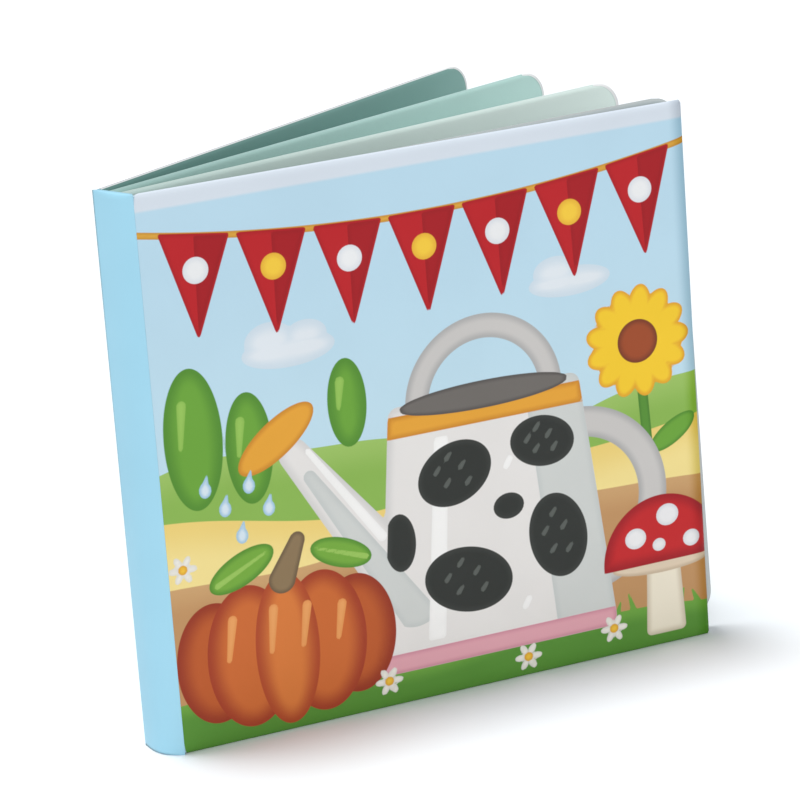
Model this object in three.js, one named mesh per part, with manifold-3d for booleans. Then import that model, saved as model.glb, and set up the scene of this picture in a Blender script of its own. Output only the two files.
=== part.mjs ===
// A soft bath book that stands on its tail with its leaves fanned open.
// The front cover, the back cover and the three inner leaves are padded panels:
// a foam sheet welded between two films, thin at the rim and full in the middle.
// A padded spine joins the covers, and the leaves are bound to each other in one root.
//
// Sizes are in millimetres and angles in degrees. The origin is the middle of the spine's tail end,
// on the surface that the book stands on. +X runs from the spine to the fore-edge,
// +Y from the front cover to the back cover, and +Z up.

import * as THREE from "three";
import { mergeVertices } from "three/addons/utils/BufferGeometryUtils.js";
import Module from "manifold-3d";

// Overall sizes
const bookHeight = 150;
const frontCoverWidth = 155.4;
const backCoverWidth = 156.6;
const spineWidth = 14.2;

// Padded panels: the rim is the welded edge, and the padding rises on each side of it
const rimThickness = 0.8;
const frontPadding = 0.8;
const backPadding = 0.5;
const leafPadding = 0.4;
const coverRoll = 4.5;
const leafRoll = 2.5;
const cornerRadius = 7.5;

// Spine: a padded strip that is nearly flat at the head and swells towards the tail,
// more on the front cover's side by the lean, a share of the swell
const spineWall = 1.4;
const spineSwellHead = 0.7;
const spineSwellTail = 2.8;
const spineLean = 0.33;

// Inner leaves: each has its own width and hangs from the head by its own drop
const leafHeight = 147;
const frontLeafWidth = 156.6;
const middleLeafWidth = 157.4;
const backLeafWidth = 157.6;
const frontLeafDrop = 2.2;
const middleLeafDrop = 0.6;
const backLeafDrop = 0.4;
const leafPitch = 3.1;
const rootDepth = 3;

// How far the book stands open: the angle of each panel from square to the spine
const frontCoverAngle = -25.6;
const backCoverAngle = 2.5;
const leaves = [
  { width: frontLeafWidth, angle: -25.3, skew: 1.0, drop: frontLeafDrop },
  { width: middleLeafWidth, angle: -15.8, skew: 0.3, drop: middleLeafDrop },
  { width: backLeafWidth, angle: -5.8, skew: 0, drop: backLeafDrop },
];

// Clearance between solids that touch on the real book
const clearance = 0.3;

// Mesh fineness
const rollSegments = 3;
const cornerSegments = 6;
const swellSegments = 12;

const frontThickness = rimThickness + 2 * frontPadding;
const backThickness = rimThickness + 2 * backPadding;
const radians = THREE.MathUtils.degToRad;

const wasm = await Module();
wasm.setup();

// A closed geometry as a solid that can be joined and cut
function toSolid(geometry) {
  const bare = geometry.clone();
  bare.deleteAttribute("normal");
  bare.deleteAttribute("uv");
  const merged = mergeVertices(bare);
  return new wasm.Manifold(
    new wasm.Mesh({
      numProp: 3,
      vertProperties: new Float32Array(merged.attributes.position.array),
      triVerts: new Uint32Array(merged.index.array),
    }),
  );
}

function toGeometry(solid) {
  const { vertProperties, triVerts } = solid.getMesh();
  const geometry = new THREE.BufferGeometry();
  geometry.setAttribute("position", new THREE.BufferAttribute(vertProperties, 3));
  geometry.setIndex(new THREE.BufferAttribute(triVerts, 1));
  geometry.computeVertexNormals();
  return geometry;
}

// Outline of a panel from x = start to the fore-edge, with the two fore-edge corners rounded by radius
function panelOutline(start, width, height, radius) {
  const outline = new THREE.Shape();
  outline.moveTo(start, 0);
  if (radius > 0) {
    outline.lineTo(width - radius, 0);
    outline.absarc(width - radius, radius, radius, -Math.PI / 2, 0);
    outline.lineTo(width, height - radius);
    outline.absarc(width - radius, height - radius, radius, 0, Math.PI / 2);
  } else {
    outline.lineTo(width, 0);
    outline.lineTo(width, height);
  }
  outline.lineTo(start, height);
  outline.closePath();
  return outline;
}

// A padded panel in the XZ plane, its middle plane on y = 0: the edges roll from the rim to the padding
function paddedPanel(outline, padding, roll) {
  const geometry = new THREE.ExtrudeGeometry(outline, {
    depth: rimThickness,
    bevelThickness: padding,
    bevelSize: roll,
    bevelOffset: -roll,
    bevelSegments: rollSegments,
    curveSegments: cornerSegments,
  });
  geometry.translate(0, 0, -rimThickness / 2);
  geometry.rotateX(Math.PI / 2);
  return geometry;
}

// A cover as it lies shut, hinge line on the Z axis, outer face on y = 0 and padding towards +Y.
// Its hinge edge is mitred, so that it meets the spine's own mitre when shut.
function coverSolid(width, radius, padding) {
  const thickness = rimThickness + 2 * padding;
  const spare = coverRoll + thickness;
  const panel = paddedPanel(panelOutline(-spare, width, bookHeight, radius), padding, coverRoll);
  panel.translate(0, thickness / 2, 0);
  const mitreStart = clearance * Math.SQRT2;
  const offcut = new THREE.Shape([
    new THREE.Vector2(mitreStart - spare, -spare),
    new THREE.Vector2(mitreStart + spare, spare),
    new THREE.Vector2(-2 * spare, spare),
    new THREE.Vector2(-2 * spare, -spare),
  ]);
  const cutter = new THREE.ExtrudeGeometry(offcut, {
    depth: bookHeight + 2 * spare,
    bevelEnabled: false,
  });
  cutter.translate(0, 0, -spare);
  return toSolid(panel).subtract(toSolid(cutter));
}

function frontCoverGeometry() {
  return toGeometry(coverSolid(frontCoverWidth, 0, frontPadding));
}

// The back cover is the same panel turned over about its hinge edge
function backCoverGeometry() {
  const geometry = toGeometry(coverSolid(backCoverWidth, cornerRadius, backPadding));
  geometry.rotateX(Math.PI);
  geometry.translate(0, 0, bookHeight);
  return geometry;
}

// Plan of the spine at one height: a flat inner face, mitred ends and an outer face that swells
function spineSection(swell, z) {
  const half = spineWidth / 2;
  const section = [
    new THREE.Vector3(0, -half, z),
    new THREE.Vector3(spineWall, spineWall - half, z),
    new THREE.Vector3(spineWall, half - spineWall, z),
    new THREE.Vector3(0, half, z),
  ];
  for (let i = 1; i < swellSegments; i++) {
    const across = 1 - (2 * i) / swellSegments;
    const rise = (1 - across * across) * (1 - spineLean * across);
    section.push(new THREE.Vector3(-swell * rise, across * half, z));
  }
  return section;
}

// A closed solid ruled between two sections that have the same number of points
function ruledGeometry(lower, upper) {
  const count = lower.length;
  const flat = lower.map((point) => new THREE.Vector2(point.x, point.y));
  const index = [];
  for (const [a, b, c] of THREE.ShapeUtils.triangulateShape(flat, [])) {
    index.push(c, b, a);
    index.push(a + count, b + count, c + count);
  }
  for (let i = 0; i < count; i++) {
    const next = (i + 1) % count;
    index.push(i, next, next + count);
    index.push(i, next + count, i + count);
  }
  const geometry = new THREE.BufferGeometry().setFromPoints([...lower, ...upper]);
  geometry.setIndex(index);
  geometry.computeVertexNormals();
  return geometry;
}

function spineGeometry() {
  return ruledGeometry(spineSection(spineSwellTail, 0), spineSection(spineSwellHead, bookHeight));
}

// One leaf of the fan: hung from the head at the spine, turned in its own plane by its skew,
// then swung to its angle
function leafSolid(leaf, place) {
  const outline = panelOutline(0, leaf.width, leafHeight, cornerRadius);
  const panel = paddedPanel(outline, leafPadding, leafRoll);
  panel.translate(0, 0, -leafHeight);
  panel.rotateY(-radians(leaf.skew));
  panel.rotateZ(radians(leaf.angle));
  panel.translate(place.x, place.y, bookHeight - leaf.drop);
  return toSolid(panel);
}

// The inner leaves and the root that binds them, as one solid
function pagesGeometry() {
  const rootStart = spineWall + clearance;
  const middle = (frontThickness - backThickness) / 2;
  const deepest = Math.max(...leaves.map((leaf) => leaf.drop));
  const rootTail = bookHeight - leafHeight;
  const rootHeight = leafHeight - deepest;
  const rootWidth = (leaves.length - 1) * leafPitch + rimThickness;
  const root = new THREE.BoxGeometry(rootDepth, rootWidth, rootHeight);
  root.translate(rootStart + rootDepth / 2, middle, rootTail + rootHeight / 2);
  let pages = toSolid(root);
  leaves.forEach((leaf, i) => {
    const y = middle + (i - (leaves.length - 1) / 2) * leafPitch;
    pages = pages.add(leafSolid(leaf, new THREE.Vector2(rootStart + rimThickness / 2, y)));
  });
  return toGeometry(pages);
}

function addPiece(parent, name, geometry, color, roughness) {
  const material = new THREE.MeshStandardMaterial({ color, roughness, metalness: 0 });
  const mesh = new THREE.Mesh(geometry, material);
  mesh.name = name;
  parent.add(mesh);
}

const book = new THREE.Group();

addPiece(book, "spine", spineGeometry(), 0xa4d9f0, 0.4);
addPiece(book, "pages", pagesGeometry(), 0xa8cfca, 0.5);

const frontHinge = new THREE.Group();
frontHinge.position.set(0, -spineWidth / 2, 0);
frontHinge.rotation.z = radians(frontCoverAngle);
addPiece(frontHinge, "front_cover", frontCoverGeometry(), 0xbad9ea, 0.4);
book.add(frontHinge);

const backHinge = new THREE.Group();
backHinge.position.set(0, spineWidth / 2, 0);
backHinge.rotation.z = radians(backCoverAngle);
addPiece(backHinge, "back_cover", backCoverGeometry(), 0x7fa9a4, 0.4);
book.add(backHinge);

export default book;
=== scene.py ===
# Dresses the soft bath book: padded film covers, a padded spine, three thick leaves and a printed front.
# Metres throughout. +X from spine to fore-edge, +Y from front cover to back cover, +Z up.

from math import cos, radians, sin

import bmesh
import bpy
import numpy as np
from mathutils import Matrix, Vector


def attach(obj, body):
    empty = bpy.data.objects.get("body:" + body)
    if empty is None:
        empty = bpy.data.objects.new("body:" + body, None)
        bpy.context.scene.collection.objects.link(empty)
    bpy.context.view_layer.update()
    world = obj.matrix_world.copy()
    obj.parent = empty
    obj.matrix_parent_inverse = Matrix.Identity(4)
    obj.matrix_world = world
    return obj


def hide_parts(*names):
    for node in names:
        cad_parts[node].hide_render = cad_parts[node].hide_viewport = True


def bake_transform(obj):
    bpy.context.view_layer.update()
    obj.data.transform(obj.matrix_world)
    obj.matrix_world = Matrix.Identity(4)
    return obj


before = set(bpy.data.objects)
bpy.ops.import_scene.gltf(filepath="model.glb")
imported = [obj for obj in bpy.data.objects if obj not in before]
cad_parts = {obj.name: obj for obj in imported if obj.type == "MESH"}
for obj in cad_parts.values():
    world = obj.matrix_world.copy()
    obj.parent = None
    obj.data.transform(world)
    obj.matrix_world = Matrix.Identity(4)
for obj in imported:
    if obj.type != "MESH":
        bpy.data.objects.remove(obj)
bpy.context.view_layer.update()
print("frame loaded")

mm = 0.001

# The book's own sizes, as in its solids
book = {
    "height": 150 * mm,
    "spineWidth": 14.2 * mm,
    "spineWall": 1.4 * mm,
    "spineSwellHead": 0.7 * mm,
    "spineSwellTail": 2.8 * mm,
    "spineLean": 0.33,
    "rimThickness": 0.8 * mm,
    "clearance": 0.3 * mm,
}

# The photograph's camera: angles in degrees, focal length in pixels of an 800 pixel frame,
# the rest in metres
view = {
    "azimuth": -48.763,
    "elevation": 16.549,
    "roll": -4.327,
    "focalPixels": 4096.8,
    "framePixels": 800,
    "distance": 1.06998,
    "across": 0.068013,
    "above": 0.086504,
}


def addCamera():
    azimuth, elevation = radians(view["azimuth"]), radians(view["elevation"])
    back = np.array([sin(azimuth) * cos(elevation), -cos(azimuth) * cos(elevation), sin(elevation)])
    right = np.array([cos(azimuth), sin(azimuth), 0])
    up = np.cross(back, right)
    place = view["distance"] * back + view["across"] * right + view["above"] * up
    c, s = cos(radians(view["roll"])), sin(radians(view["roll"]))
    data = bpy.data.cameras.new("camera")
    data.sensor_width = 36
    data.lens = data.sensor_width * view["focalPixels"] / view["framePixels"]
    data.clip_end = 50
    camera = bpy.data.objects.new("camera", data)
    turned = Matrix([*zip(c * right + s * up, c * up - s * right, back)]).to_4x4()
    camera.matrix_world = Matrix.Translation(place) @ turned
    bpy.context.scene.collection.objects.link(camera)
    bpy.context.scene.camera = camera


addCamera()
print("camera placed")


# Colours are written as 0 to 255 values of the screen and turned to the linear values that shaders use
def colour(red, green, blue):
    screen = np.array([red, green, blue]) / 255
    linear = np.where(screen <= 0.04045, screen / 12.92, ((screen + 0.055) / 1.055) ** 2.4)
    return (*linear.tolist(), 1.0)


# Shader groups

def newGroup(name, inputs, outputs):
    group = bpy.data.node_groups.new(name, "ShaderNodeTree")
    for label, kind, value in inputs:
        socket = group.interface.new_socket(name=label, in_out="INPUT", socket_type=kind)
        if value is not None:
            socket.default_value = value
    for label, kind in outputs:
        group.interface.new_socket(name=label, in_out="OUTPUT", socket_type=kind)
    return group, group.nodes.new("NodeGroupInput").outputs, group.nodes.new("NodeGroupOutput").inputs


# A node of one kind, with its settings by name and its sockets by name or number:
# a value is set and a socket is linked
def addNode(tree, kind, settings=None, sockets=None):
    node = tree.nodes.new(kind)
    for name, value in (settings or {}).items():
        setattr(node, name, value)
    for name, value in (sockets or {}).items():
        if isinstance(value, bpy.types.NodeSocket):
            tree.links.new(value, node.inputs[name])
        else:
            node.inputs[name].default_value = value
    return node


def mixColour(tree, factor, first, second):
    node = addNode(tree, "ShaderNodeMix", {"data_type": "RGBA"}, {0: factor, 6: first, 7: second})
    return node.outputs[2]


def smoothRamp(tree, value, fromMin, fromMax, toMin=0.0, toMax=1.0):
    sockets = {0: value, 1: fromMin, 2: fromMax, 3: toMin, 4: toMax}
    node = addNode(tree, "ShaderNodeMapRange", {"interpolation_type": "SMOOTHSTEP"}, sockets)
    return node.outputs["Result"]


def calculate(tree, operation, first, second=0.0):
    return addNode(tree, "ShaderNodeMath", {"operation": operation}, {0: first, 1: second}).outputs[0]


# Studio: a dim white room, a soft lamp above and a little behind the book, a low lamp at its front and spine,
# and a white floor. Directions point from the book to the lamp.
studio = {
    "roomStrength": 0.42,
    "lamps": [
        {"name": "top lamp", "strength": 2.1, "spread": 18, "direction": (-0.04, 0.19, 1.0)},
        {"name": "front lamp", "strength": 0.88, "spread": 20, "direction": (-0.74, -0.62, 0.34)},
    ],
    "floorSize": 12.0,
    "floorSeen": (0.93, 0.965, 1.0, 1),
    "floorBounce": (0.86, 0.86, 0.86, 1),
}


def addRoom():
    world = bpy.data.worlds.new("white room")
    world.use_nodes = True
    background = world.node_tree.nodes["Background"]
    background.inputs["Color"].default_value = (1, 1, 1, 1)
    background.inputs["Strength"].default_value = studio["roomStrength"]
    bpy.context.scene.world = world


def addLamp(settings):
    lamp = bpy.data.lights.new(settings["name"], "SUN")
    lamp.energy = settings["strength"]
    lamp.angle = radians(settings["spread"])
    holder = bpy.data.objects.new(settings["name"], lamp)
    holder.rotation_mode = "QUATERNION"
    holder.rotation_quaternion = Vector(settings["direction"]).to_track_quat("Z", "Y")
    bpy.context.scene.collection.objects.link(holder)


# The floor is white where it is looked at and a little greyer where it throws light back on the book
def addFloor():
    half = studio["floorSize"] / 2
    mesh = bpy.data.meshes.new("floor")
    corners = [(-half, -half, 0), (half, -half, 0), (half, half, 0), (-half, half, 0)]
    mesh.from_pydata(corners, [], [(0, 1, 2, 3)])
    material = bpy.data.materials.new("white floor")
    material.use_nodes = True
    tree = material.node_tree
    path = addNode(tree, "ShaderNodeLightPath").outputs
    mirrored = calculate(tree, "MAXIMUM", path["Is Glossy Ray"], path["Is Transmission Ray"])
    seen = calculate(tree, "MAXIMUM", path["Is Camera Ray"], mirrored)
    shader = tree.nodes["Principled BSDF"]
    floorColour = mixColour(tree, seen, studio["floorBounce"], studio["floorSeen"])
    tree.links.new(floorColour, shader.inputs["Base Color"])
    shader.inputs["Roughness"].default_value = 1
    shader.inputs["Specular IOR Level"].default_value = 0
    mesh.materials.append(material)
    floor = bpy.data.objects.new("floor", mesh)
    bpy.context.scene.collection.objects.link(floor)


addRoom()
for settings in studio["lamps"]:
    addLamp(settings)
addFloor()
bpy.context.scene.view_settings.view_transform = "Standard"
print("studio lit")


# Fine pebble grain of soft film, with broad soft dents and a faint mottle.
# Heights are shares of the bump's depth.
filmRelief = {
    "grainSize": 0.5 * mm,
    "dentSize": 22 * mm,
    "pebbleHeight": 0.35,
    "fineHeight": 0.2,
    "dentHeight": 2.0,
}


def buildFilmGrain():
    inputs = [
        ("Place", "NodeSocketVector", None),
        ("Grain size", "NodeSocketFloat", filmRelief["grainSize"]),
        ("Dent size", "NodeSocketFloat", filmRelief["dentSize"]),
    ]
    outputs = [("Height", "NodeSocketFloat"), ("Mottle", "NodeSocketFloat")]
    group, given, out = newGroup("Film grain", inputs, outputs)
    place = given["Place"]
    perGrain = calculate(group, "DIVIDE", 1.0, given["Grain size"])
    perDent = calculate(group, "DIVIDE", 1.0, given["Dent size"])
    soft = {"feature": "SMOOTH_F1"}
    pebble = addNode(group, "ShaderNodeTexVoronoi", soft, {"Vector": place, "Scale": perGrain})
    fine = addNode(group, "ShaderNodeTexNoise", None, {"Vector": place, "Scale": perGrain, "Detail": 2.0})
    dents = addNode(group, "ShaderNodeTexNoise", None, {"Vector": place, "Scale": perDent, "Detail": 1.0})
    pebbleHeight = calculate(group, "MULTIPLY", pebble.outputs["Distance"], filmRelief["pebbleHeight"])
    fineHeight = calculate(group, "MULTIPLY", fine.outputs["Fac"], filmRelief["fineHeight"])
    dentHeight = calculate(group, "MULTIPLY", dents.outputs["Fac"], filmRelief["dentHeight"])
    height = calculate(group, "ADD", calculate(group, "ADD", pebbleHeight, fineHeight), dentHeight)
    group.links.new(height, out["Height"])
    group.links.new(dents.outputs["Fac"], out["Mottle"])
    return group


# Welded edge: film over the foam, then a fine pressed line, painted dark as shade in its groove, and a pale
# flange, which is the pale weld and, where it is wide, a painted highlight. The flange is wide along the
# fore-edge and only a thin rim along the head and tail. Widths are in millimetres.
weld = {
    "flange": (240, 242, 243),
    "line": (70, 84, 88),
    "blend": 0.12,
    "lineInset": 0.25,
    "lineReach": 0.3,
}


def buildWeldedRim():
    inputs = [
        ("Film", "NodeSocketColor", None),
        ("Flange", "NodeSocketColor", colour(*weld["flange"])),
        ("Inset", "NodeSocketFloat", 1.0),
        ("Fore", "NodeSocketFloat", 1.0),
        ("Flange width", "NodeSocketFloat", 0.8),
        ("Rim width", "NodeSocketFloat", 0.1),
        ("Line shade", "NodeSocketFloat", 0.2),
    ]
    outputs = [("Color", "NodeSocketColor"), ("Height", "NodeSocketFloat")]
    group, given, out = newGroup("Welded rim", inputs, outputs)
    pastFlange = calculate(group, "SUBTRACT", given["Fore"], given["Flange width"])
    pastRim = calculate(group, "SUBTRACT", given["Inset"], given["Rim width"])
    past = calculate(group, "MINIMUM", pastFlange, pastRim)
    foam = smoothRamp(group, past, -weld["blend"], weld["blend"])
    bare = mixColour(group, foam, given["Flange"], given["Film"])
    # Painted shade: the pressed line is darkened as shade in its groove, besides its dent in the bump
    fromLine = calculate(group, "ABSOLUTE", calculate(group, "SUBTRACT", past, weld["lineInset"]))
    pressed = smoothRamp(group, fromLine, 0.0, weld["lineReach"], 1.0, 0.0)
    line = calculate(group, "MULTIPLY", pressed, given["Line shade"])
    group.links.new(mixColour(group, line, bare, colour(*weld["line"])), out["Color"])
    group.links.new(calculate(group, "MULTIPLY", line, -1.0), out["Height"])
    return group


# One ink of the print: inside its outline it covers what is under it, with a deeper tone along its edge
def buildInk():
    inputs = [
        ("Under", "NodeSocketColor", None),
        ("Ink", "NodeSocketColor", None),
        ("Edge tone", "NodeSocketColor", None),
        ("Distance", "NodeSocketFloat", 1.0),
        ("Edge reach", "NodeSocketFloat", 2.0),
        ("Softness", "NodeSocketFloat", 0.18),
    ]
    group, given, out = newGroup("Ink", inputs, [("Color", "NodeSocketColor")])
    softness = given["Softness"]
    inner = calculate(group, "MULTIPLY", softness, -1.0)
    cover = smoothRamp(group, given["Distance"], inner, softness, 1.0, 0.0)
    reach = calculate(group, "MULTIPLY", given["Edge reach"], -1.0)
    edge = smoothRamp(group, given["Distance"], reach, 0.0)
    toned = mixColour(group, edge, given["Ink"], given["Edge tone"])
    group.links.new(mixColour(group, cover, given["Under"], toned), out["Color"])
    return group


filmGrain = buildFilmGrain()
weldedRim = buildWeldedRim()
ink = buildInk()


def placeGroup(tree, group, sockets):
    return addNode(tree, "ShaderNodeGroup", {"node_tree": group}, sockets).outputs


def attributeValue(tree, name):
    return addNode(tree, "ShaderNodeAttribute", {"attribute_name": name}).outputs["Fac"]


# Soft film: the colours are plain or come from a function of the tree, the grain and the rim's pressed line
# from their groups
filmFinish = {
    "roughness": 0.46,
    "roughnessSpread": 0.05,
    "specularLevel": 0.25,
    "bumpDepth": 0.03 * mm,
    "bumpStrength": 0.6,
    "lineDepth": 4.0,
    "mottleShare": 0.3,
    "mottleValue": 0.93,
}


def softFilm(
    name, filmColour, flangeAndHighlightColour=colour(*weld["flange"]), flangeAndHighlightWidth=0.8, rimWidth=0.1, lineShade=0.2
):
    material = bpy.data.materials.new(name)
    material.use_nodes = True
    tree = material.node_tree
    shader = tree.nodes["Principled BSDF"]
    grain = placeGroup(tree, filmGrain, {"Place": addNode(tree, "ShaderNodeTexCoord").outputs["Object"]})
    base = filmColour(tree) if callable(filmColour) else filmColour
    flange = flangeAndHighlightColour(tree) if callable(flangeAndHighlightColour) else flangeAndHighlightColour
    shade = {"Value": filmFinish["mottleValue"], "Color": base}
    darker = addNode(tree, "ShaderNodeHueSaturation", None, shade)
    mottle = smoothRamp(tree, grain["Mottle"], 0.35, 0.7, 0.0, filmFinish["mottleShare"])
    rimSockets = {
        "Film": mixColour(tree, mottle, base, darker.outputs[0]),
        "Flange": flange,
        "Inset": attributeValue(tree, "inset"),
        "Fore": attributeValue(tree, "fore"),
        "Flange width": flangeAndHighlightWidth,
        "Rim width": rimWidth,
        "Line shade": lineShade,
    }
    rim = placeGroup(tree, weldedRim, rimSockets)
    tree.links.new(rim["Color"], shader.inputs["Base Color"])
    pressedLine = calculate(tree, "MULTIPLY", rim["Height"], filmFinish["lineDepth"])
    bumpSockets = {
        "Strength": filmFinish["bumpStrength"],
        "Distance": filmFinish["bumpDepth"],
        "Height": calculate(tree, "ADD", grain["Height"], pressedLine),
    }
    bump = addNode(tree, "ShaderNodeBump", None, bumpSockets)
    tree.links.new(bump.outputs[0], shader.inputs["Normal"])
    smoothest = filmFinish["roughness"] - filmFinish["roughnessSpread"]
    roughest = filmFinish["roughness"] + filmFinish["roughnessSpread"]
    shine = smoothRamp(tree, grain["Mottle"], 0.3, 0.7, smoothest, roughest)
    tree.links.new(shine, shader.inputs["Roughness"])
    shader.inputs["Specular IOR Level"].default_value = filmFinish["specularLevel"]
    return material


print("shader groups built")


# Meshes

sharpAngle = 50


# A piece from arrays of corners and four-cornered faces, plus whole polygons, with point attributes
# and one material
def addPiece(name, points, quads, material, body=None, node=None, values=None, polygons=()):
    mesh = bpy.data.meshes.new(name)
    faces = quads.tolist() + [corners.tolist() for corners in polygons]
    mesh.from_pydata(points.reshape(-1, 3).tolist(), [], faces)
    for label, field in (values or {}).items():
        attribute = mesh.attributes.new(label, "FLOAT", "POINT")
        attribute.data.foreach_set("value", field.ravel().astype(np.float32))
    outward = bmesh.new()
    outward.from_mesh(mesh)
    bmesh.ops.recalc_face_normals(outward, faces=outward.faces)
    outward.to_mesh(mesh)
    outward.free()
    mesh.shade_smooth()
    mesh.set_sharp_from_angle(angle=radians(sharpAngle))
    mesh.materials.append(material)
    piece = bpy.data.objects.new(name, mesh)
    bpy.context.scene.collection.objects.link(piece)
    if body:
        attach(piece, body)
    if node:
        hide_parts(node)
    return piece


# Numbers of the four corners of every cell of a grid that has rows x columns points
def gridCells(rows, columns, start=0):
    corner = start + np.arange(rows * columns).reshape(rows, columns)
    cells = np.stack([corner[:-1, :-1], corner[1:, :-1], corner[1:, 1:], corner[:-1, 1:]], -1)
    return cells.reshape(-1, 4)


# Shares from 0 to 1, closer together towards both ends: t less a part of sin(2 pi t)
def easedShares(count, ease=0.75):
    t = np.linspace(0, 1, count + 1)
    return t - ease * np.sin(2 * np.pi * t) / (2 * np.pi)


# Elliptical roll of a padded edge: 0 at the flange, 1 where the padding is full
def edgeRoll(inset, flange, reach):
    short = 1 - np.clip((inset - flange) / reach, 0, 1)
    return np.sqrt(np.maximum(1 - short * short, 0))


# A broad pillow over the panel: (1 - (2u - 1)^4) (1 - (2v - 1)^4) for shares u and v of its width and height
def pillow(across, along):
    return (1 - (2 * across - 1) ** 4) * (1 - (2 * along - 1) ** 4)


# Distance in from the free edges of a panel whose bound edge is at a = 0, with the fore-edge corners rounded:
# the corner radius less how far the point is past the corner's centre, measured to the nearer edge
def insetFromEdges(a, b, width, height, radius):
    pastA = a - (width - radius)
    pastB = np.abs(b - height / 2) - (height / 2 - radius)
    outside = np.hypot(np.maximum(pastA, 0), np.maximum(pastB, 0))
    inside = np.minimum(np.maximum(pastA, pastB), 0)
    return radius - outside - inside


# Fine gathers of the film beside the bound edge: two sines up the edge, which fade away from it
gathers = {
    "start": 3 * mm,
    "fade": 9 * mm,
    "wave": 4.1 * mm,
    "fineWave": 2.3 * mm,
    "fineShare": 0.6,
    "fineShift": 2,
}


def gatheredFilm(a, b, shift):
    reach = np.exp(-a / gathers["fade"]) * np.minimum(a / gathers["start"], 1)
    wave = np.sin(b / gathers["wave"] + shift)
    fineWave = np.sin(b / gathers["fineWave"] + gathers["fineShift"] + shift)
    return reach * (wave + gathers["fineShare"] * fineWave)


# One face of a padded panel, side 1 for the outer and -1 for the inner. It stands off the middle plane
# by half the rim, plus the padding, the pillow and the gathers times the edge roll.
def panelFace(panel, u, b, foreEdge, side):
    width, height, trim = panel["width"], panel["height"], book["rimThickness"] / 2
    start = panel["starts"][0 if side > 0 else 1]
    a = start + (foreEdge - start) * u
    inset = insetFromEdges(a, b, width, height, panel["radius"])
    if panel["boundRoll"]:
        inset = np.minimum(inset, a + trim)
    roll = edgeRoll(inset, panel["flange"], panel["roll"])
    swell = panel["crown"] * pillow(np.clip(a / width, 0, 1), b / height)
    pucker = panel["pucker"] * gatheredFilm(a, b, side)
    standoff = trim + (panel["padding"] + swell + pucker) * roll
    return a, inset, side * standoff - panel["middle"]


# Direction in which the rim's half round stands off the edge: out from the nearest free edge or from
# the centre of a rounded corner, and nowhere along the bound edge
def rimDirections(panel, a, b, bound):
    fromMiddle = b - panel["height"] / 2
    pastA = np.maximum(a - (panel["width"] - panel["radius"]), 0)
    pastB = np.maximum(np.abs(fromMiddle) - (panel["height"] / 2 - panel["radius"]), 0)
    length = np.maximum(np.hypot(pastA, pastB), 1e-9)
    return np.where(bound, 0, pastA / length), np.where(bound, 0, np.sign(fromMiddle) * pastB / length)


# Padded panel as a closed surface. Each face is a grid of shares u, v: b = v x height, and a runs from the
# bound edge to the outline at that height. Rings between the faces make the rim's half round, and the outer
# film's colour reaches over them by their shares.
rimRings = 3
rimOuterShares = (1.0, 0.8, 0.0)


def paddedPanel(panel, place, along, up, out):
    height, radius, trim = panel["height"], panel["radius"], book["rimThickness"] / 2
    u = easedShares(panel["columns"], panel["ease"])[:, None]
    v = easedShares(panel["rows"], panel["ease"])[None, :]
    b = trim + v * (height - 2 * trim) + 0 * u
    lowered = np.maximum(np.abs(b - height / 2) - (height / 2 - radius), 0)
    foreEdge = panel["width"] - radius + np.sqrt(np.maximum((radius - trim) ** 2 - lowered**2, 0))
    outerA, outerInset, outerN = panelFace(panel, u, b, foreEdge, 1)
    innerA, innerInset, innerN = panelFace(panel, u, b, foreEdge, -1)

    count = b.size
    number = np.arange(count).reshape(b.shape)
    loop = np.concatenate([number[:, 0], number[-1, 1:], number[-2::-1, -1], number[0, -2:0:-1]])
    bound = np.isin(loop, number[0])
    outerLoop = [field.ravel()[loop] for field in (outerA, b, outerN)]
    innerLoop = [field.ravel()[loop] for field in (innerA, b, innerN)]
    awayA, awayB = rimDirections(panel, outerLoop[0], outerLoop[1], bound)
    layers = [(outerA.ravel(), b.ravel(), outerN.ravel())]
    for step in range(1, rimRings + 1):
        turn = np.pi * step / (rimRings + 1)
        blend = (1 - cos(turn)) / 2
        a, z, n = [o + (i - o) * blend for o, i in zip(outerLoop, innerLoop)]
        layers.append((a + awayA * trim * sin(turn), z + awayB * trim * sin(turn), n))
    layers.append((innerA.ravel(), b.ravel(), innerN.ravel()))
    a, z, n = [np.concatenate(fields)[:, None] for fields in zip(*layers)]
    points = place + a * along + z * up + n * out

    innerStart = count + rimRings * len(loop)
    bands = [loop] + [count + step * len(loop) + np.arange(len(loop)) for step in range(rimRings)]
    bands.append(innerStart + loop)
    quads = [gridCells(*b.shape), gridCells(*b.shape, innerStart)]
    for near, far in zip(bands, bands[1:]):
        quads.append(np.stack([near, np.roll(near, -1), np.roll(far, -1), far], -1))

    # A value for every point: over the outer face, the rings and the inner face
    def overPanel(outer, rings, inner):
        return np.concatenate([np.ravel(outer), *rings, np.ravel(inner)])

    rimFore = (foreEdge.ravel()[loop] - outerLoop[0]) / mm
    rimInset = np.where(bound, 5.0, 0.0)
    rimOuter = [np.full(len(loop), share) for share in rimOuterShares]
    rim = np.zeros(len(points))
    rim[count : count + 2 * len(loop)] = 1
    values = {
        "inset": overPanel(outerInset / mm, [rimInset] * rimRings, innerInset / mm),
        "fore": overPanel((foreEdge - outerA) / mm, [rimFore] * rimRings, (foreEdge - innerA) / mm),
        "outer": overPanel(np.ones(count), rimOuter, np.zeros(count)),
        "rim": rim,
    }
    sheetA = overPanel(outerA, [outerLoop[0]] * rimRings, innerA)
    sheetB = overPanel(b, [outerLoop[1]] * rimRings, b)
    return points, np.concatenate(quads), values, sheetA, sheetB


# The front cover's print. Distances are in millimetres on the cover: a from the fold, b up from the tail.
# Each is negative inside its shape.

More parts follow.
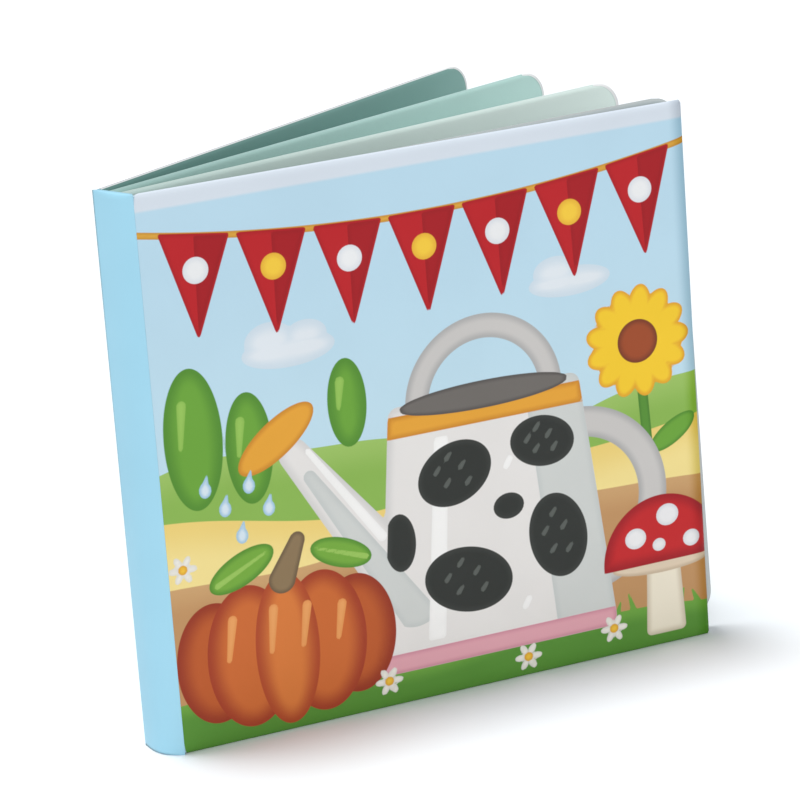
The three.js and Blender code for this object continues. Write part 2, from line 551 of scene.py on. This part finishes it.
# Ellipse: k (k - 1) over the length of the slope, where k is the radius in units of the ellipse
def ellipse(a, b, middle, radii, turn=0):
    c, s = cos(radians(turn)), sin(radians(turn))
    u = (a - middle[0]) * c + (b - middle[1]) * s
    v = (b - middle[1]) * c - (a - middle[0]) * s
    k = np.maximum(np.hypot(u / radii[0], v / radii[1]), 1e-3)
    slope = np.hypot(u / radii[0] ** 2, v / radii[1] ** 2)
    return k * (k - 1) / np.maximum(slope, k / max(radii))


# Thick line: distance to the nearest point of the line, less a radius that runs evenly from end to end
def strip(a, b, start, end, radius, endRadius=None):
    run = np.array(end, float) - start
    share = np.clip(((a - start[0]) * run[0] + (b - start[1]) * run[1]) / (run @ run), 0, 1)
    away = np.hypot(a - start[0] - share * run[0], b - start[1] - share * run[1])
    return away - (radius + share * ((radius if endRadius is None else endRadius) - radius))


# Polygon: distance to the nearest side, made negative where a ray to the right crosses an odd number of sides
def polygon(a, b, corners, rounding=0):
    nearest = np.full(a.shape, 1e6)
    inside = np.zeros(a.shape, bool)
    for start, end in zip(corners, corners[1:] + corners[:1]):
        nearest = np.minimum(nearest, strip(a, b, start, end, 0))
        crosses = (start[1] > b) != (end[1] > b)
        slope = (end[0] - start[0]) / (end[1] - start[1]) if end[1] != start[1] else 0
        inside ^= crosses & (a < start[0] + (b - start[1]) * slope)
    return np.where(inside, -nearest, nearest) - rounding


# Arc of a ring: distance to the circle less half the ring's width
def ring(a, b, middle, radius, halfWidth):
    return np.abs(np.hypot(a - middle[0], b - middle[1]) - radius) - halfWidth


def union(*shapes):
    return np.minimum.reduce(shapes)


def within(shape, limit, margin=0.0):
    return np.maximum(shape, limit + margin)


# Ground line: a level plus two sines
def ground(a, b, level, rise, wave, shift):
    return b - level - rise * np.sin(a / wave + shift) - 0.3 * rise * np.sin(2.3 * a / wave + 1)


picture = {
    "pennants": 7,
    "pennantPitch": 21,
    "pennantWidth": 18,
    "pennantDrop": 26,
    "stringMiddle": 78,
    "stringHeight": 139.5,
    "stringSag": 7,
    "canBody": [(60, 12), (124, 12), (117, 79), (67, 79)],
    "canPatches": [
        ((82, 61), (11, 8.5), 20),
        ((108, 65), (9.5, 7), -12),
        ((111, 38), (8.5, 12), 10),
        ((84, 31), (13, 9), -15),
        ((97, 49), (4.5, 3.6), 0),
        ((65, 45), (4.5, 8), 0),
    ],
    "pumpkin": (31, 23),
    "toadstool": (142, 25),
    "sunflower": (138, 87),
    "poplars": [(10, 84, 8, 19), (25, 79, 6.5, 15), (53, 86, 5.5, 12)],
    "daisies": [(59, 7.5), (100, 5.5), (126, 8), (4, 50)],
}


def bunting(a, b):
    count, sag, top = picture["pennants"], picture["stringSag"], picture["stringHeight"]
    middle = picture["stringMiddle"]

    def stringLevel(x):
        return top - sag * (1 - ((x - middle) / middle) ** 2)

    string = np.abs(b - stringLevel(a)) - 0.9
    pennants, shades, dots = [], [], []
    half = picture["pennantWidth"] / 2
    for i in range(count):
        x = middle + (i - (count - 1) / 2) * picture["pennantPitch"]
        left, right = (x - half, stringLevel(x - half)), (x + half, stringLevel(x + half))
        lean = (right[1] - left[1]) * 0.35
        tip = (x + lean, stringLevel(x) - picture["pennantDrop"])
        pennants.append(polygon(a, b, [left, right, tip], 0.5))
        shades.append(polygon(a, b, [(x, stringLevel(x)), right, tip]))
        dots.append(ellipse(a, b, (x + lean * 0.3, stringLevel(x) - 9), (3.5, 3.5)))
    return string, union(*pennants), union(*shades), union(*dots[1::2]), union(*dots[::2])


# Short strokes of light over an ellipse, along its upper left
def strokes(a, b, middle, radii):
    marks = []
    for u, v in [(-0.5, 0.1), (-0.2, 0.5), (0.15, 0.15), (0.3, -0.4), (-0.25, -0.35)]:
        x, z = middle[0] + u * radii[0], middle[1] + v * radii[1]
        marks.append(strip(a, b, (x, z), (x + 1.3, z + 1.6), 0.75, 0.5))
    return union(*marks)


def wateringCan(a, b):
    body = polygon(a, b, picture["canBody"], 3)
    spout = strip(a, b, (68, 30), (37, 75), 9, 4.2)
    rose = ellipse(a, b, (32.5, 80), (13, 5), 35)
    handle = within(ring(a, b, (118, 46), 22, 4.2), 118 - a)
    bail = within(ring(a, b, (92, 80), 19.5, 3.3), 78 - b)
    patches = within(union(*[ellipse(a, b, *patch) for patch in picture["canPatches"]]), body, 0.8)
    flecks = union(*[strokes(a, b, patch[0], patch[1]) for patch in picture["canPatches"][:4]])
    shine = union(
        polygon(a, b, [(72, 17), (75.5, 17), (80, 71), (77.5, 71)], 0.8),
        strip(a, b, (60, 48), (41, 75), 1.4, 0.8),
        strip(a, b, (100, 20), (101.2, 22), 0.9),
        strip(a, b, (97, 60), (98.2, 62), 0.9),
    )
    shade = within(polygon(a, b, [(112, 5), (150, 5), (150, 90), (105, 90)], 2), body)
    spoutShade = within(strip(a, b, (70, 22), (41, 68), 5, 1.8), spout)
    return {
        "body": union(body, spout),
        "shade": union(shade, spoutShade),
        "shine": within(shine, union(body, spout)),
        "handles": union(handle, bail),
        "patches": patches,
        "flecks": within(flecks, patches),
        "band": union(within(np.abs(b - 76.5) - 3, body), rose),
        "foot": within(np.abs(b - 11.5) - 2.8, body),
        "mouth": ellipse(a, b, (92, 81), (24.5, 3.8)),
    }


def pumpkin(a, b):
    x, z = picture["pumpkin"]
    lobes = [(x - 20, 11, 16.5), (x + 20, 11, 16.5), (x - 10.5, 12, 19.5), (x + 10.5, 12, 19.5), (x, 9, 21)]
    shapes = [ellipse(a, b, (lobe, z), (wide, high)) for lobe, wide, high in lobes]
    lights = [
        strip(a, b, (lobe - 0.35 * wide, z + 0.55 * high), (lobe - 0.5 * wide, z), 1.3, 0.7)
        for lobe, wide, high in lobes[1:]
    ]
    stem = strip(a, b, (x, z + 19), (x + 5, z + 29), 3.8, 2.2)
    leaves = union(
        ellipse(a, b, (x - 11, z + 24), (10, 4.4), 25),
        ellipse(a, b, (x + 17, z + 23), (9, 4), -20),
    )
    veins = union(
        strip(a, b, (x - 18, z + 20.7), (x - 4, z + 27.3), 0.8, 0.4),
        strip(a, b, (x + 24, z + 20.5), (x + 10, z + 25.5), 0.8, 0.4),
    )
    return {
        "outer": union(*shapes[:2]),
        "side": union(*shapes[2:4]),
        "middle": shapes[4],
        "lights": union(*lights),
        "stem": stem,
        "leaves": leaves,
        "veins": veins,
    }


# Flower head: petals that point outward from a ring of 0.62 of the radius
def flowerHead(a, b, middle, radius, petals):
    reach = radius * 0.62
    shapes = []
    for turn in np.arange(petals) * 360 / petals:
        place = (middle[0] + reach * cos(radians(turn)), middle[1] + reach * sin(radians(turn)))
        shapes.append(ellipse(a, b, place, (radius * 0.42, radius * 0.24), turn))
    return union(*shapes)


def toadstool(a, b):
    x, z = picture["toadstool"]
    cap = within(ellipse(a, b, (x, z), (18, 18)), z - 1 - b)
    spots = [(-8, 7, 3.2), (2, 12, 3.4), (9, 4, 2.6), (-1, 4, 2.0)]
    dots = union(*[ellipse(a, b, (x + u, z + v), (size, size * 0.9)) for u, v, size in spots])
    stalk = polygon(a, b, [(x - 4.5, 5), (x + 4.5, 5), (x + 3.5, z), (x - 3.5, z)], 1.5)
    return cap, within(dots, cap), stalk, ellipse(a, b, (x, z - 1), (15.5, 3))


# Uneven tufts along the grass: blade i leans by a sine of its number
def tufts(a, b):
    blades = []
    for i in range(24):
        x = 3 + i * 6.5
        lean = 2.2 * sin(i * 2.1)
        blades.append(strip(a, b, (x, 9), (x + lean, 15.5 + 1.5 * sin(i * 1.3)), 1.3, 0.3))
    return union(*blades)


def drawPrint(a, b):
    string, pennants, pennantShades, goldDots, paleDots = bunting(a, b)
    can, gourd = wateringCan(a, b), pumpkin(a, b)
    cap, capDots, stalk, gills = toadstool(a, b)
    sun = picture["sunflower"]
    poplars = union(*[ellipse(a, b, (x, z), (wide, high)) for x, z, wide, high in picture["poplars"]])
    poplarLights = union(*[
        strip(a, b, (x - 0.3 * wide, z + 0.5 * high), (x - 0.45 * wide, z - 0.1 * high), 1.3, 0.6)
        for x, z, wide, high in picture["poplars"]
    ])
    daisies = union(*[flowerHead(a, b, spot, 3.9, 6) for spot in picture["daisies"]])
    daisyEyes = union(*[ellipse(a, b, spot, (1.3, 1.3)) for spot in picture["daisies"]])
    clouds = union(
        ellipse(a, b, (38, 103), (13, 4.6)),
        ellipse(a, b, (33, 106), (7, 5.2)),
        ellipse(a, b, (43, 106), (6, 4.2)),
        ellipse(a, b, (119, 107), (12, 4)),
        ellipse(a, b, (115, 110), (6.5, 4.4)),
    )
    drops = union(*[
        union(ellipse(a, b, (x, z), (1.7, 2.1)), strip(a, b, (x, z + 1), (x + 0.9, z + 4.2), 1.1, 0.1))
        for x, z in [(24, 69), (17, 64), (29, 62), (21, 56), (12, 70)]
    ])
    sunLeaves = union(ellipse(a, b, (131, 64), (8, 3.2), -30), ellipse(a, b, (147, 60), (8, 3.2), 30))
    # Name, shape, ink, edge tone, how far the edge tone reaches in
    return [
        ("clouds", clouds, (228, 236, 243), (208, 224, 236), 4),
        ("far hill", ground(a, b, 73, 5, 23, 0.4), (140, 184, 84), (158, 196, 102), 10),
        ("poplars", poplars, (108, 166, 58), (84, 142, 48), 5),
        ("poplar lights", poplarLights, (152, 198, 92), (142, 190, 84), 1),
        ("near hill", ground(a, b, 60, 4, 31, 2.6), (246, 226, 150), (240, 212, 124), 12),
        ("soil", ground(a, b, 47, 3, 27, 4.2), (194, 148, 100), (206, 164, 114), 8),
        ("grass", union(ground(a, b, 11.5, 1.6, 17, 1.2), tufts(a, b)), (88, 146, 54), (110, 166, 66), 5),
        ("string", string, (226, 170, 66), (204, 146, 50), 1),
        ("pennants", pennants, (190, 28, 36), (176, 22, 32), 1.5),
        ("pennant shades", pennantShades, (168, 20, 30), (160, 18, 28), 1.5),
        ("pale dots", paleDots, (240, 242, 244), (226, 230, 236), 2),
        ("gold dots", goldDots, (248, 206, 66), (236, 184, 58), 2),
        ("sunflower stalk", strip(a, b, (sun[0] + 3, 20), sun, 1.5), (88, 146, 54), (76, 130, 48), 1),
        ("sunflower leaves", sunLeaves, (108, 166, 58), (84, 142, 48), 1.5),
        ("can handles", can["handles"], (204, 202, 200), (176, 176, 176), 2.4),
        ("can", can["body"], (232, 230, 228), (214, 213, 212), 3),
        ("can shade", can["shade"], (209, 213, 211), (200, 205, 204), 2),
        ("can shine", can["shine"], (248, 248, 247), (244, 244, 243), 1),
        ("can patches", can["patches"], (46, 49, 46), (56, 59, 56), 2),
        ("can flecks", can["flecks"], (96, 101, 97), (88, 93, 89), 1),
        ("can band", can["band"], (232, 166, 56), (208, 138, 44), 1.8),
        ("can foot", can["foot"], (228, 168, 180), (212, 146, 162), 1.5),
        ("can mouth", can["mouth"], (112, 108, 104), (88, 84, 82), 1.5),
        ("drops", drops, (216, 232, 243), (160, 200, 226), 1.2),
        ("pumpkin outer", gourd["outer"], (190, 92, 42), (152, 54, 30), 6),
        ("pumpkin side", gourd["side"], (206, 108, 50), (164, 62, 34), 6),
        ("pumpkin middle", gourd["middle"], (218, 124, 58), (176, 74, 38), 6),
        ("pumpkin lights", gourd["lights"], (236, 164, 98), (230, 152, 86), 1),
        ("stem", gourd["stem"], (140, 118, 86), (110, 92, 68), 1.5),
        ("leaves", gourd["leaves"], (118, 172, 62), (86, 144, 48), 2),
        ("leaf veins", gourd["veins"], (158, 202, 98), (152, 196, 92), 1),
        ("sunflower", flowerHead(a, b, sun, 15, 13), (248, 206, 48), (230, 166, 44), 1.6),
        ("sunflower eye", ellipse(a, b, sun, (6, 6)), (160, 76, 40), (122, 58, 34), 2),
        ("toadstool stalk", stalk, (242, 234, 214), (214, 202, 180), 2),
        ("toadstool gills", gills, (226, 208, 184), (204, 184, 158), 1.5),
        ("toadstool cap", cap, (198, 36, 40), (162, 24, 34), 4),
        ("cap dots", capDots, (240, 240, 242), (224, 226, 230), 1.5),
        ("daisies", daisies, (242, 240, 232), (226, 224, 216), 1),
        ("daisy eyes", daisyEyes, (246, 200, 66), (226, 166, 50), 1),
        # Painted highlight: a pale band over the top 4.6 mm stands in for the sheen where the padded head
        # rolls back
        ("painted head highlight", 145.4 - b, (218, 228, 239), (218, 228, 239), 1),
    ]


# Front cover: the sky's film, then every ink in turn, the last a painted highlight along the head, and a
# painted shade along the fore-edge
frontCover = {
    "width": 155.4 * mm,
    "height": book["height"],
    "radius": 0.5 * mm,
    "padding": 0.8 * mm,
    "crown": 0.5 * mm,
    "pucker": 0.05 * mm,
    "roll": 4.5 * mm,
    "flange": 0.3 * mm,
    "middle": 1.2 * mm,
    "starts": (0.05 * mm, 2.7 * mm),
    "boundRoll": False,
    "columns": 220,
    "rows": 205,
    "angle": -25.6,
    "ease": 0.35,
    "sky": (189, 222, 240),
    "skyLow": (196, 226, 240),
    "blank": (190, 218, 232),
    "inkSoftness": 0.16,
    "headHighlightSoftness": 0.5,
    "farthestInk": 30,
    "foreShadeReach": 4.4,
    "foreShadeValue": 0.74,
    "foreShadeSaturation": 1.25,
}


def makeFrontCover():
    turn = radians(frontCover["angle"])
    place = np.array([0, -book["spineWidth"] / 2, 0])
    along = np.array([cos(turn), sin(turn), 0])
    out = np.array([sin(turn), -cos(turn), 0])
    points, quads, values, a, b = paddedPanel(frontCover, place, along, np.array([0, 0, 1.0]), out)
    layers = drawPrint(a / mm, b / mm)
    for name, shape, *_ in layers:
        values[name] = np.clip(shape, -frontCover["farthestInk"], frontCover["farthestInk"])
    values["height"] = b / book["height"]

    def printedColour(tree):
        low, high = colour(*frontCover["skyLow"]), colour(*frontCover["sky"])
        printed = mixColour(tree, smoothRamp(tree, attributeValue(tree, "height"), 0.3, 0.9), low, high)
        for name, _, tone, edge, reach in layers:
            sockets = {
                "Under": printed,
                "Ink": colour(*tone),
                "Edge tone": colour(*edge),
                "Distance": attributeValue(tree, name),
                "Edge reach": float(reach),
                "Softness": frontCover["headHighlightSoftness"] if name == "painted head highlight" else frontCover["inkSoftness"],
            }
            printed = placeGroup(tree, ink, sockets)["Color"]
        # Painted shade: the print darkens and deepens towards the fore-edge, where the padding rolls away
        # from the light
        hue = {"Value": frontCover["foreShadeValue"], "Saturation": frontCover["foreShadeSaturation"], "Color": printed}
        deeper = addNode(tree, "ShaderNodeHueSaturation", None, hue).outputs[0]
        nearEdge = smoothRamp(tree, attributeValue(tree, "fore"), 0.0, frontCover["foreShadeReach"], 1.0, 0.0)
        printed = mixColour(tree, nearEdge, printed, deeper)
        outside = smoothRamp(tree, attributeValue(tree, "outer"), 0.3, 0.6)
        return mixColour(tree, outside, colour(*frontCover["blank"]), printed)

    film = softFilm("printed soft film", printedColour, flangeAndHighlightWidth=-1.0, rimWidth=-1.0, lineShade=0.0)
    piece = addPiece("frontCoverPad", points, quads, film, "front_cover", "front_cover", values)


makeFrontCover()
print("front cover padded and printed")

# Back cover: sky blue outside, deep sea green inside, with painted shade darkening the inside towards the
# spine
backCover = {
    "width": 156.6 * mm,
    "height": book["height"],
    "radius": 7.5 * mm,
    "padding": 0.5 * mm,
    "crown": 0.4 * mm,
    "pucker": 0.05 * mm,
    "roll": 4.5 * mm,
    "flange": 0.5 * mm,
    "middle": 0.9 * mm,
    "starts": (0.05 * mm, 2.1 * mm),
    "boundRoll": False,
    "columns": 120,
    "rows": 110,
    "angle": 2.5,
    "ease": 0.75,
    "outside": (164, 214, 236),
    "inside": (140, 182, 176),
    "insideShadedNearSpine": (118, 160, 154),
    "headLine": (70, 70, 84),
    "headLineShade": 0.8,
}


def makeBackCover():
    turn = radians(backCover["angle"])
    place = np.array([0, book["spineWidth"] / 2, 0])
    along = np.array([cos(turn), sin(turn), 0])
    out = np.array([-sin(turn), cos(turn), 0])
    points, quads, values, *_ = paddedPanel(backCover, place, along, np.array([0, 0, 1.0]), out)
    values["reach"] = np.linalg.norm(points[:, :2] - place[:2], axis=1) / backCover["width"]

    def twoSided(tree):
        # Painted shade: the inside darkens towards the spine, where the gap to the leaves is narrowest
        near, far = colour(*backCover["insideShadedNearSpine"]), colour(*backCover["inside"])
        inside = mixColour(tree, smoothRamp(tree, attributeValue(tree, "reach"), 0.0, 0.9), near, far)
        outside = smoothRamp(tree, attributeValue(tree, "outer"), 0.4, 0.6)
        return mixColour(tree, outside, inside, colour(*backCover["outside"]))

    # Painted shade: a dark line on the outer half of the rim along the head and tail, fading out towards the
    # fore-edge
    def flange(tree):
        fromFore = smoothRamp(tree, attributeValue(tree, "fore"), 2.0, 12.0, 0.0, backCover["headLineShade"])
        headLine = calculate(tree, "MULTIPLY", fromFore, attributeValue(tree, "rim"))
        return mixColour(tree, headLine, colour(*weld["flange"]), colour(*backCover["headLine"]))

    film = softFilm("two tone soft film", twoSided, flange, rimWidth=0.25, lineShade=0.1)
    piece = addPiece("backCoverPad", points, quads, film, "back_cover", "back_cover", values)


makeBackCover()
print("back cover padded")

# Inner leaves: what they share, then each from the front to the back with its angle and skew in degrees,
# its drop below the head and its colours near and far from the spine, the near one darker as painted shade
leafPanel = {
    "height": 147 * mm,
    "radius": 7.5 * mm,
    "padding": 0.4 * mm,
    "crown": 0.2 * mm,
    "pucker": 0.04 * mm,
    "roll": 2.5 * mm,
    "flange": 0.4 * mm,
    "middle": 0.0,
    "starts": (0.0, 0.0),
    "boundRoll": True,
    "ease": 0.75,
    "columns": 110,
    "rows": 100,
}
leaves = [
    {
        "name": "frontLeaf",
        "width": 156.6 * mm,
        "angle": -25.3,
        "skew": 1.0,
        "drop": 2.2 * mm,
        "flangeAndHighlightWidth": -1.0,
        "near": (188, 196, 196),
        "far": (196, 202, 202),
    },
    {
        "name": "middleLeaf",
        "width": 157.4 * mm,
        "angle": -15.8,
        "skew": 0.3,
        "drop": 0.6 * mm,
        "flangeAndHighlightWidth": 0.8,
        "near": (206, 226, 220),
        "far": (234, 251, 246),
    },
    {
        "name": "backLeaf",
        "width": 157.6 * mm,
        "angle": -5.8,
        "skew": 0.0,
        "drop": 0.4 * mm,
        "flangeAndHighlightWidth": 0.8,
        "near": (176, 210, 205),
        "far": (196, 230, 225),
    },
]
binding = {
    "depth": 3 * mm,
    "pitch": 3.1 * mm,
    "middle": 0.3 * mm,
    "squareness": 0.25,
    "groove": 0.25 * mm,
    "columns": 96,
    "levels": 60,
    "film": (176, 204, 206),
}


def makeLeaf(leaf, y):
    turn, skew = radians(leaf["angle"]), radians(leaf["skew"])
    x = book["spineWall"] + book["clearance"] + book["rimThickness"] / 2
    along = np.array([cos(skew) * cos(turn), cos(skew) * sin(turn), sin(skew)])
    up = np.array([-sin(skew) * cos(turn), -sin(skew) * sin(turn), cos(skew)])
    out = np.array([sin(turn), -cos(turn), 0])
    head = np.array([x, y, book["height"] - leaf["drop"]])
    place = head - leafPanel["height"] * up
    panel = leafPanel | leaf
    points, quads, values, *_ = paddedPanel(panel, place, along, up, out)
    values["reach"] = ((points - place) @ along) / leaf["width"]

    # Painted shade: the leaf darkens towards the spine, where the gaps between the leaves are narrow
    def tintWithSpineShade(tree):
        near, far = colour(*leaf["near"]), colour(*leaf["far"])
        return mixColour(tree, smoothRamp(tree, attributeValue(tree, "reach"), 0.0, 0.9), near, far)

    film = softFilm(leaf["name"] + " film", tintWithSpineShade, flangeAndHighlightWidth=leaf["flangeAndHighlightWidth"], rimWidth=-0.2)
    piece = addPiece(leaf["name"], points, quads, film, "book_block", "pages", values)


for i, leaf in enumerate(leaves):
    makeLeaf(leaf, binding["middle"] + (i - 1) * binding["pitch"])
print("leaves padded")


# A closed section carried up Z: the section is an array of x, y corners for every level, with flat ends
def sweptSection(sections, levels):
    rows, columns = sections.shape[:2]
    points = np.concatenate([sections, np.broadcast_to(levels[:, None, None], (rows, columns, 1))], -1)
    corner = np.arange(rows * columns).reshape(rows, columns)
    after = np.roll(corner, -1, axis=1)
    quads = np.stack([corner[:-1], after[:-1], after[1:], corner[1:]], -1).reshape(-1, 4)
    return points, quads, [corner[0][::-1], corner[-1]]


# Values of a piece that has no fore-edge: its flange lies far off
def edgeValues(inset):
    return {"inset": inset, "fore": np.full(inset.shape, 50.0)}


# Spine: the outer face swells as (1 - t^2) (1 - lean t) across the strip, more at the tail than at the head.
# The inner face is flat and its sides are mitred. Both ends of the strip roll in over their last 1.6 mm.
spine = {
    "film": (166, 220, 243),
    "backLineAndTailShadow": (60, 72, 78),
    "tailContactShadowWidth": 0.9 * mm,
    "backEdgeLineWidth": 0.5 * mm,
    "roll": 1.6 * mm,
    "endDrop": 0.5 * mm,
    "innerDrop": 0.2 * mm,
    "backEdgeLineShades": (0.15, 0.75),
    "levels": 120,
    "ease": 0.95,
    "columns": 40,
    "innerColumns": 12,
}


def makeSpine():
    half, wall = book["spineWidth"] / 2, book["spineWall"]
    v = easedShares(spine["levels"], spine["ease"])
    z = v * book["height"]
    fromEnd = np.minimum(z, book["height"] - z)
    roll = edgeRoll(fromEnd, 0, spine["roll"])
    swell = book["spineSwellTail"] + (book["spineSwellHead"] - book["spineSwellTail"]) * v
    t = np.linspace(1, -1, spine["columns"] + 1)
    swell = swell - spine["endDrop"] * (1 - roll)
    outerX = -swell[:, None] * ((1 - t**2) * (1 - book["spineLean"] * t))[None, :]
    outerY = np.broadcast_to(half * t, outerX.shape)
    innerT = np.linspace(-1, 1, spine["innerColumns"] + 1)
    innerY = np.broadcast_to((half - wall) * innerT, (len(z), len(innerT)))
    innerX = np.broadcast_to(wall - spine["innerDrop"] * (1 - roll)[:, None], innerY.shape)
    sections = np.stack([np.concatenate([outerX, innerX], 1), np.concatenate([outerY, innerY], 1)], -1)
    points, quads, ends = sweptSection(sections, z)
    edges = edgeValues(np.broadcast_to(fromEnd[:, None] / mm, sections.shape[:2]))
    # Painted shadow: a dark band along the tail, strongest at the back, stands in for the contact shadow on
    # the floor. A dark line also runs down the back edge, stronger towards the head.
    towardsBack = np.clip((1 + sections[..., 1] / half) / 2, 0, 1)
    tailContactShadow = np.clip(1 - z / spine["tailContactShadowWidth"], 0, 1)[:, None] * towardsBack
    backEdgeLine = np.clip(1 - (half - sections[..., 1]) / spine["backEdgeLineWidth"], 0, 1)
    tailShade, headShade = spine["backEdgeLineShades"]
    backEdgeLine = backEdgeLine * (tailShade + (headShade - tailShade) * v[:, None] ** 2)
    edges["backLineAndTailShadow"] = np.maximum(tailContactShadow, backEdgeLine)

    def backLineAndTailShadowed(tree):
        return mixColour(tree, attributeValue(tree, "backLineAndTailShadow"), colour(*spine["film"]), colour(*spine["backLineAndTailShadow"]))

    film = softFilm("spine film", backLineAndTailShadowed, rimWidth=-0.2, lineShade=0.0)
    piece = addPiece("spinePad", points, quads, film, "book_block", "spine", edges, ends)


makeSpine()
print("spine padded")


# Root of the leaves: a rounded block with a shallow groove between each two leaves
def makeBinding():
    start = book["spineWall"] + book["clearance"]
    width = 2 * binding["pitch"] + book["rimThickness"]
    low = book["height"] - leafPanel["height"]
    high = book["height"] - max(leaf["drop"] for leaf in leaves)
    turn = np.linspace(0, 2 * np.pi, binding["columns"], endpoint=False)
    x = np.sign(np.cos(turn)) * np.abs(np.cos(turn)) ** binding["squareness"]
    y = np.sign(np.sin(turn)) * np.abs(np.sin(turn)) ** binding["squareness"] * width / 2
    groove = binding["groove"] * (np.cos(2 * np.pi * y / binding["pitch"]) - 1) * (x > 0)
    x = start + binding["depth"] * (1 + x) / 2 + groove
    levels = low + easedShares(binding["levels"]) * (high - low)
    sections = np.broadcast_to(np.stack([x, y + binding["middle"]], -1), (len(levels), len(turn), 2))
    points, quads, ends = sweptSection(sections, levels)
    fromEnd = np.minimum(levels - low, high - levels)
    edges = edgeValues(np.broadcast_to(fromEnd[:, None] / mm, sections.shape[:2]))
    film = softFilm("binding film", colour(*binding["film"]), rimWidth=0.4)
    addPiece("leafBinding", points, quads, film, "book_block", "pages", edges, ends)


makeBinding()
print("leaf binding made")

# Folds: a soft bead of film and foam fills the mitre between the spine and each cover
folds = {
    "radius": 1.9 * mm,
    "heart": 0.05 * mm,
    "endGap": 0.5 * mm,
    "steps": 14,
    "levels": 60,
    "film": (176, 212, 230),
}


# Section: from the heart to the radius and back, over the angles between the two mitres
def makeFold(name, y, spineTurn, coverTurn):
    turn = np.radians(np.linspace(spineTurn, coverTurn, folds["steps"] + 1))
    arc = np.stack([np.cos(turn), np.sin(turn)], -1)
    section = np.concatenate([folds["radius"] * arc, folds["heart"] * arc[::-1]]) + [0, y]
    levels = folds["endGap"] + easedShares(folds["levels"]) * (book["height"] - 2 * folds["endGap"])
    sections = np.broadcast_to(section, (len(levels), *section.shape))
    points, quads, ends = sweptSection(sections, levels)
    edges = edgeValues(np.full(sections.shape[:2], 5.0))
    film = softFilm(name + " film", colour(*folds["film"]))
    piece = addPiece(name, points, quads, film, None, None, edges, ends)
    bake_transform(piece)


def mitreTurn(panel):
    return np.degrees(np.arctan2(2 * panel["middle"], panel["starts"][1]))


makeFold("frontFold", -book["spineWidth"] / 2, 45, frontCover["angle"] + mitreTurn(frontCover))
makeFold("backFold", book["spineWidth"] / 2, -45, backCover["angle"] - mitreTurn(backCover))
print("folds filled")
